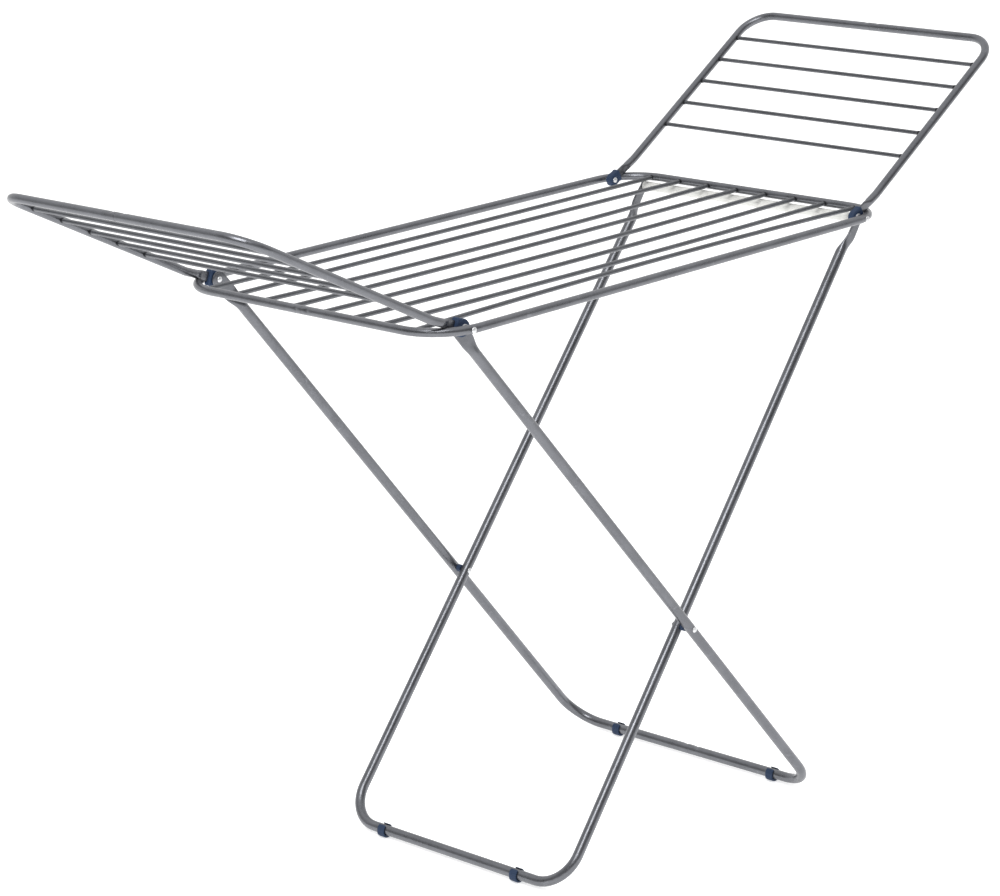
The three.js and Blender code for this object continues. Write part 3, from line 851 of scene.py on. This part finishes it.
class AIRER_OT_hinge_caps(bpy.types.Operator):
    """Mould the cap over each wing's tongue: round at the hinge, open at the mouth"""

    bl_idname = "airer.hinge_caps"
    bl_label = "Hinge Caps"

    def execute(self, context):
        _, wing, _, small = sizes(context)
        thick, long = small.cap_thickness / 2, small.cap_length
        slot_wide, slot_deep = wing.tongue / 2 + small.gap, small.plate / 2 + small.gap
        for label, where, hinge, rise, turned_round, own in arms(wing):
            radius = getattr(small, f"{label}_cap")
            past = np.concatenate([
                -radius * np.cos(np.linspace(0.1, np.pi / 2, 18)),
                np.linspace(0.001, long - CAP_ROUND, 16),
                long - CAP_ROUND * (1 - np.sin(np.linspace(0.2, np.pi / 2, 5))),
            ])
            rounded = round_end(past, radius)
            lip = 0.0005 * np.exp(-(((past - long + 0.003) / CAP_ROUND) ** 2))
            mouth = 0.0008 * smooth((past - long + CAP_ROUND) / CAP_ROUND)
            width = rounded - 0.0009 * smooth(past / long) + lip - mouth
            depth = thick * (1 - (1 - rounded / radius) ** 3) + lip - mouth
            places = np.outer(past, [1, 0, 0])
            headings = np.tile([1.0, 0.0, 0.0], (len(past), 1))
            outside = carry(places, headings, width, depth, CAP_POWER, CAP_AROUND)
            inner = np.outer(np.linspace(long, long * 0.35, 6), [1, 0, 0])
            inside = carry(inner, headings[:6], slot_wide, slot_deep, CAP_POWER, CAP_AROUND)
            grid = np.concatenate([outside, inside])
            grid = place(grid, (0, own * wing.width / 2, 0), wing.tongue_bend)
            grid = place(grid, hinge, -rise, turned_round)
            grid = off_the_bends(context, grid, hinge, CAP_LIFTS)
            surface(context, f"{label}_hinge_cap_{where}", grid, "navy_plastic")
        return {"FINISHED"}


def pressed_end(past, leg, small, lead, wide):
    """Half width, half depth, power and opening of a leg tube's end, `past` metres beyond its
    rivet: a flat plate with a round end that opens smoothly into the tube."""
    radius = leg.tube / 2
    opened = smooth((past - leg.plate_flat) / (leg.plate_round - leg.plate_flat))
    rounded = round_end(past, lead)
    full = np.where(past < 0, rounded, lead + (wide - lead) * smooth(past / leg.plate_flat))
    width = full + (radius - full) * opened
    depth, power = pressed_depth(small.plate / 2, radius, opened, 1.3, rounded / lead)
    return width, depth, power, opened


class AIRER_OT_outer_leg(bpy.types.Operator):
    """Run the outer leg's two tubes from the left hinge down to the foot bar they share"""

    bl_idname = "airer.outer_leg"
    bl_label = "Outer Leg"

    def execute(self, context):
        _, _, leg, small = sizes(context)
        foot = middle_of("outer_leg_joint_plug")
        slope = foot - LEFT_HINGE
        length = math.hypot(slope[0], slope[2])
        angle = math.atan2(-slope[2], slope[0])
        lead = leg.outer_plate / 2
        grow = (leg.outer_foot - leg.outer_top) / 2
        for where, side in SIDES.items():
            inner_head = corners_of(f"hinge_rivet_left_{where}")[0 if side > 0 else 1][1]
            plate_y = inner_head + side * (small.rivet_rise + small.gap + small.plate / 2)
            top = side * (leg.outer_top / 2 - grow * lead / length)
            corners = [
                (-lead, top, 0), (length, side * leg.outer_foot / 2, 0),
                (length, side * small.gap, 0),
            ]
            total = line_length(corners, leg.corner)
            opening = lead + np.linspace(leg.plate_flat, leg.plate_round, 24)
            distance = stations(
                tip_stations(lead, 14), opening, arcs(corners, leg.corner, 17),
                total - TUBE_END, np.linspace(lead, total, 50),
            )
            width, depth, power, opened = pressed_end(distance - lead, leg, small, lead, lead)
            places, headings = follow(corners, leg.corner, distance)
            places[:, 1] += (1 - opened) * (plate_y - places[:, 1])
            grid = carry(places, headings, width, depth, power, small.around)
            marks = [(total - CRIMP_INSET, (-0.6, 0, 0.8), 0.0014, 0.0032, 0.45)]
            grid = press(grid, places, distance, marks)
            grid = square_end(grid, headings, small.gap / 3)
            grid = place(grid, LEFT_HINGE, angle)
            surface(context, f"outer_leg_tube_{where}", grid, "silver_tube")
        return {"FINISHED"}


class AIRER_OT_inner_leg(bpy.types.Operator):
    """Bend the inner leg in one piece, with a tapered plate round each end of its top bar"""

    bl_idname = "airer.inner_leg"
    bl_label = "Inner Leg"

    def execute(self, context):
        _, _, leg, small = sizes(context)
        bar = middle_of("inner_leg_top_bar")
        slope = bar - CROSSING
        upper = math.hypot(slope[0], slope[2])
        angle = math.atan2(slope[2], slope[0])
        foot_z = corners_of("inner_leg_tube")[0][2] + leg.tube / 2
        lower = (CROSSING[2] - foot_z) / math.sin(angle)
        lead = leg.bar / 2
        grow = (leg.inner_foot - leg.inner_top) / 2 / (upper + lower)
        start = leg.inner_top / 2 - grow * lead
        foot = leg.inner_foot / 2
        plate_y = corners_of("inner_leg_top_bar")[1][1] + small.gap + small.plate / 2
        corners = [
            (upper + lead, start, 0), (-lower, foot, 0), (-lower, -foot, 0),
            (upper + lead, -start, 0),
        ]
        total = line_length(corners, leg.corner)
        opening = lead + np.linspace(0, leg.plate_round, 34)
        ends = np.concatenate([tip_stations(lead, 12), opening])
        distance = stations(
            ends, total - ends, arcs(corners, leg.corner, 17), np.linspace(lead, total - lead, 90)
        )
        past = np.minimum(distance, total - distance) - lead
        wide = leg.inner_plate / 2
        width, depth, power, opened = pressed_end(past, leg, small, lead, wide)
        places, headings = follow(corners, leg.corner, distance)
        wanted = np.sign(places[:, 1]) * plate_y
        places[:, 1] += (1 - opened) * (wanted - places[:, 1])
        grid = carry(places, headings, width, depth, power, small.around)
        grid = place(grid, CROSSING, -angle)
        surface(context, "inner_leg_tube", grid, "silver_tube")
        return {"FINISHED"}


class AIRER_OT_top_bar(bpy.types.Operator):
    """Turn the pale bar between the inner leg's ends, with a rounded edge at each end"""

    bl_idname = "airer.top_bar"
    bl_label = "Top Bar"

    def execute(self, context):
        leg = sizes(context)[2]
        low, high = corners_of("inner_leg_top_bar")
        reach, radius = (high[1] - low[1]) / 2, leg.bar / 2
        quarter = np.linspace(0, np.pi / 2, 6)
        radii = radius - BAR_EDGE * (1 - np.sin(quarter))
        heights = reach - BAR_EDGE * (1 - np.cos(quarter))
        sides = np.linspace(-reach + END_SPAN, reach - END_SPAN, 9)
        full = np.concatenate([radii, np.full(len(sides), radius), radii[::-1]])
        along = np.concatenate([-heights, sides, heights[::-1]])
        grid = turned(full, along, (low + high) / 2, 40)
        surface(context, "inner_leg_top_bar", grid, "pale_bar")
        return {"FINISHED"}


class AIRER_OT_rivets(bpy.types.Operator):
    """Turn the rivets, each with low domes on a shank, and the spacers beside them"""

    bl_idname = "airer.rivets"
    bl_label = "Rivets and Spacers"

    def execute(self, context):
        small = sizes(context)[3]
        head, shank, rise = small.rivet_head / 2, small.shank / 2, small.rivet_rise
        # A head's dome is an ellipse, head cos(a) by rise sin(a), with a groove round its crown.
        angle = np.linspace(0, np.pi / 2 - 0.08, 12)
        dome_radii = head * np.cos(angle)
        groove = 0.16 * np.exp(-((dome_radii / head - 0.45) ** 2) / 0.012)
        dome_rise = rise * np.sin(angle) * (1 - groove)
        under, waste = small.gap * UNDER_HEAD, head * HEAD_WASTE
        for node in nodes_with("rivet"):
            low, high = corners_of(node)
            middle = (low + high) / 2
            reach = (high[1] - low[1]) / 2 - rise
            radii = np.concatenate([[shank, waste], dome_radii])
            heights = np.concatenate([[reach - under] * 2, reach + dome_rise])
            if node.startswith("top_bar"):
                side = math.copysign(1, middle[1])
                radii = np.concatenate([[shank], radii])
                heights = side * np.concatenate([[-reach - rise], heights])
            else:
                radii = np.concatenate([radii[::-1], radii])
                heights = np.concatenate([-heights[::-1], heights])
            surface(context, node, turned(radii, heights, middle, 28), "rivet_steel")
        bore, outer = shank + small.gap, small.shank + 2 * small.gap
        radii = [bore, outer - SPACER_EDGE, outer, outer, outer - SPACER_EDGE, bore]
        for node in nodes_with("spacer"):
            low, high = corners_of(node)
            reach = (high[1] - low[1]) / 2 + under
            rim = reach - SPACER_EDGE
            grid = turned(radii, [-reach, -reach, -rim, rim, reach, reach], (low + high) / 2, 32)
            slot_name = "navy_plastic" if "crossing" in node else "rivet_steel"
            surface(context, node, grid, slot_name, loop=True)
        return {"FINISHED"}


class AIRER_OT_foot_clips(bpy.types.Operator):
    """Mould the clip under each foot bar: a C-shaped strip whose floor is flat. Its outer face is
    at the lesser of the floor's distance over |sin a| and the cheek's radius"""

    bl_idname = "airer.foot_clips"
    bl_label = "Foot Clips"

    def execute(self, context):
        _, _, leg, small = sizes(context)
        inner = leg.tube / 2 + small.gap
        cheek = inner + small.clip_wall
        sole = leg.tube / 2 + small.clip_floor
        angle = np.linspace(CLIP_LIP, -np.pi - CLIP_LIP, CLIP_STEPS)
        ends = np.minimum(np.arange(CLIP_STEPS), np.arange(CLIP_STEPS)[::-1])
        edge = np.sqrt(np.clip(1 - (1 - np.minimum(ends / 3.0, 1)) ** 2, 0.02, 1))
        below = np.clip(-np.sin(angle), 0.02, None)
        wall = np.minimum(cheek + CLIP_SWELL * smooth(below * 1.6), sole / below)
        middle_radius = (wall + inner) / 2
        thick = (wall - inner) / 2 * edge
        spoke = np.stack([np.cos(angle), 0 * angle, np.sin(angle)], axis=-1)
        places = middle_radius[:, None] * spoke
        around = np.arange(CLIP_AROUND) * 2 * np.pi / CLIP_AROUND
        cosine, sine = np.cos(around), np.sin(around)
        wide = small.clip_width / 2 * edge[:, None] ** 0.3
        u = thick[:, None] * np.sign(cosine) * np.abs(cosine) ** CLIP_POWER
        v = wide * np.sign(sine) * np.abs(sine) ** CLIP_POWER
        section = u[..., None] * spoke[:, None, :] + v[..., None] * np.array([0.0, 1.0, 0.0])
        grid = places[:, None, :] + section
        for node in nodes_with("foot_clip"):
            low, high = corners_of(node)
            middle = np.array([*(low + high)[:2] / 2, low[2] + sole])
            surface(context, node, grid + middle, "navy_plastic")
        return {"FINISHED"}


class AIRER_OT_plugs(bpy.types.Operator):
    """Give the plugs inside the butt joints their finish"""

    bl_idname = "airer.plugs"
    bl_label = "Joint Plugs"

    def execute(self, context):
        steel = finish_named(context, "rivet_steel")
        for node in nodes_with("joint_plug"):
            materials = frame["nodes"][node].data.materials
            materials.clear()
            materials.append(steel)
        return {"FINISHED"}


class AIRER_OT_stage(bpy.types.Operator):
    """Lay the pale floor and set the lights and the camera"""

    bl_idname = "airer.stage"
    bl_label = "Stage"

    def execute(self, context):
        scene = context.scene
        stage = scene.airer_stage
        side = stage.floor
        mesh = bpy.data.meshes.new("floor")
        points = np.array([(-side, -side, 0), (side, -side, 0), (side, side, 0), (-side, side, 0)])
        mesh.from_pydata(points - np.array([0, 0, FLOOR_DROP]), [], [(0, 1, 2, 3)])
        mesh.materials.append(floor_paint())
        floor = bpy.data.objects.new("floor", mesh)
        scene.collection.objects.link(floor)
        world = bpy.data.worlds.new("soft_sky")
        world.use_nodes = True
        Sky(world, stage.sky, stage.shade, AWAY)
        scene.world = world
        key = bpy.data.lights.new("key", "AREA")
        key.energy, key.shape = stage.key, "RECTANGLE"
        key.size, key.size_y = KEY_SIZE
        lamp = bpy.data.objects.new("key", key)
        turn = Euler(KEY_TURN).to_matrix().to_4x4()
        lamp.matrix_world = Matrix.Translation(KEY_PLACE) @ turn
        scene.collection.objects.link(lamp)
        lens = bpy.data.cameras.new("camera")
        lens.lens, lens.sensor_width, lens.sensor_fit = stage.lens, SENSOR, "HORIZONTAL"
        lens.clip_end = FARTHEST
        camera = bpy.data.objects.new("camera", lens)
        camera.location, camera.rotation_euler = stage.camera_place, stage.camera_turn
        scene.collection.objects.link(camera)
        scene.camera = camera
        scene.view_settings.view_transform = "Standard"
        return {"FINISHED"}


STEPS = (
    AIRER_OT_frame_tube, AIRER_OT_main_rods, AIRER_OT_wings, AIRER_OT_wing_rods,
    AIRER_OT_hinge_caps, AIRER_OT_outer_leg, AIRER_OT_inner_leg, AIRER_OT_top_bar,
    AIRER_OT_rivets, AIRER_OT_foot_clips, AIRER_OT_plugs, AIRER_OT_stage,
)
GROUPS = {
    "airer_rack": AirerRackSizes,
    "airer_wing": AirerWingSizes,
    "airer_leg": AirerLegSizes,
    "airer_small": AirerSmallSizes,
    "airer_colours": AirerColours,
    "airer_stage": AirerStageSettings,
}


class AIRER_PT_panel(bpy.types.Panel):
    """Lists the airer's pieces"""

    bl_idname = "AIRER_PT_panel"
    bl_label = "Clothes Airer"
    bl_space_type = "VIEW_3D"
    bl_region_type = "UI"
    bl_category = "Airer"

    def draw(self, context):
        for step in STEPS:
            self.layout.operator(step.bl_idname)
        for name, group in GROUPS.items():
            box = self.layout.box()
            for prop in group.__annotations__:
                box.prop(getattr(context.scene, name), prop)


def register():
    for cls in (*GROUPS.values(), *STEPS, AIRER_PT_panel):
        bpy.utils.register_class(cls)
    for name, group in GROUPS.items():
        setattr(bpy.types.Scene, name, PointerProperty(type=group))


def unregister():
    for name in GROUPS:
        delattr(bpy.types.Scene, name)
    for cls in reversed((*GROUPS.values(), *STEPS, AIRER_PT_panel)):
        bpy.utils.unregister_class(cls)


def main():
    register()
    for step in STEPS:
        getattr(bpy.ops.airer, step.bl_idname.split(".")[1])()


if __name__ == "__main__":
    main()
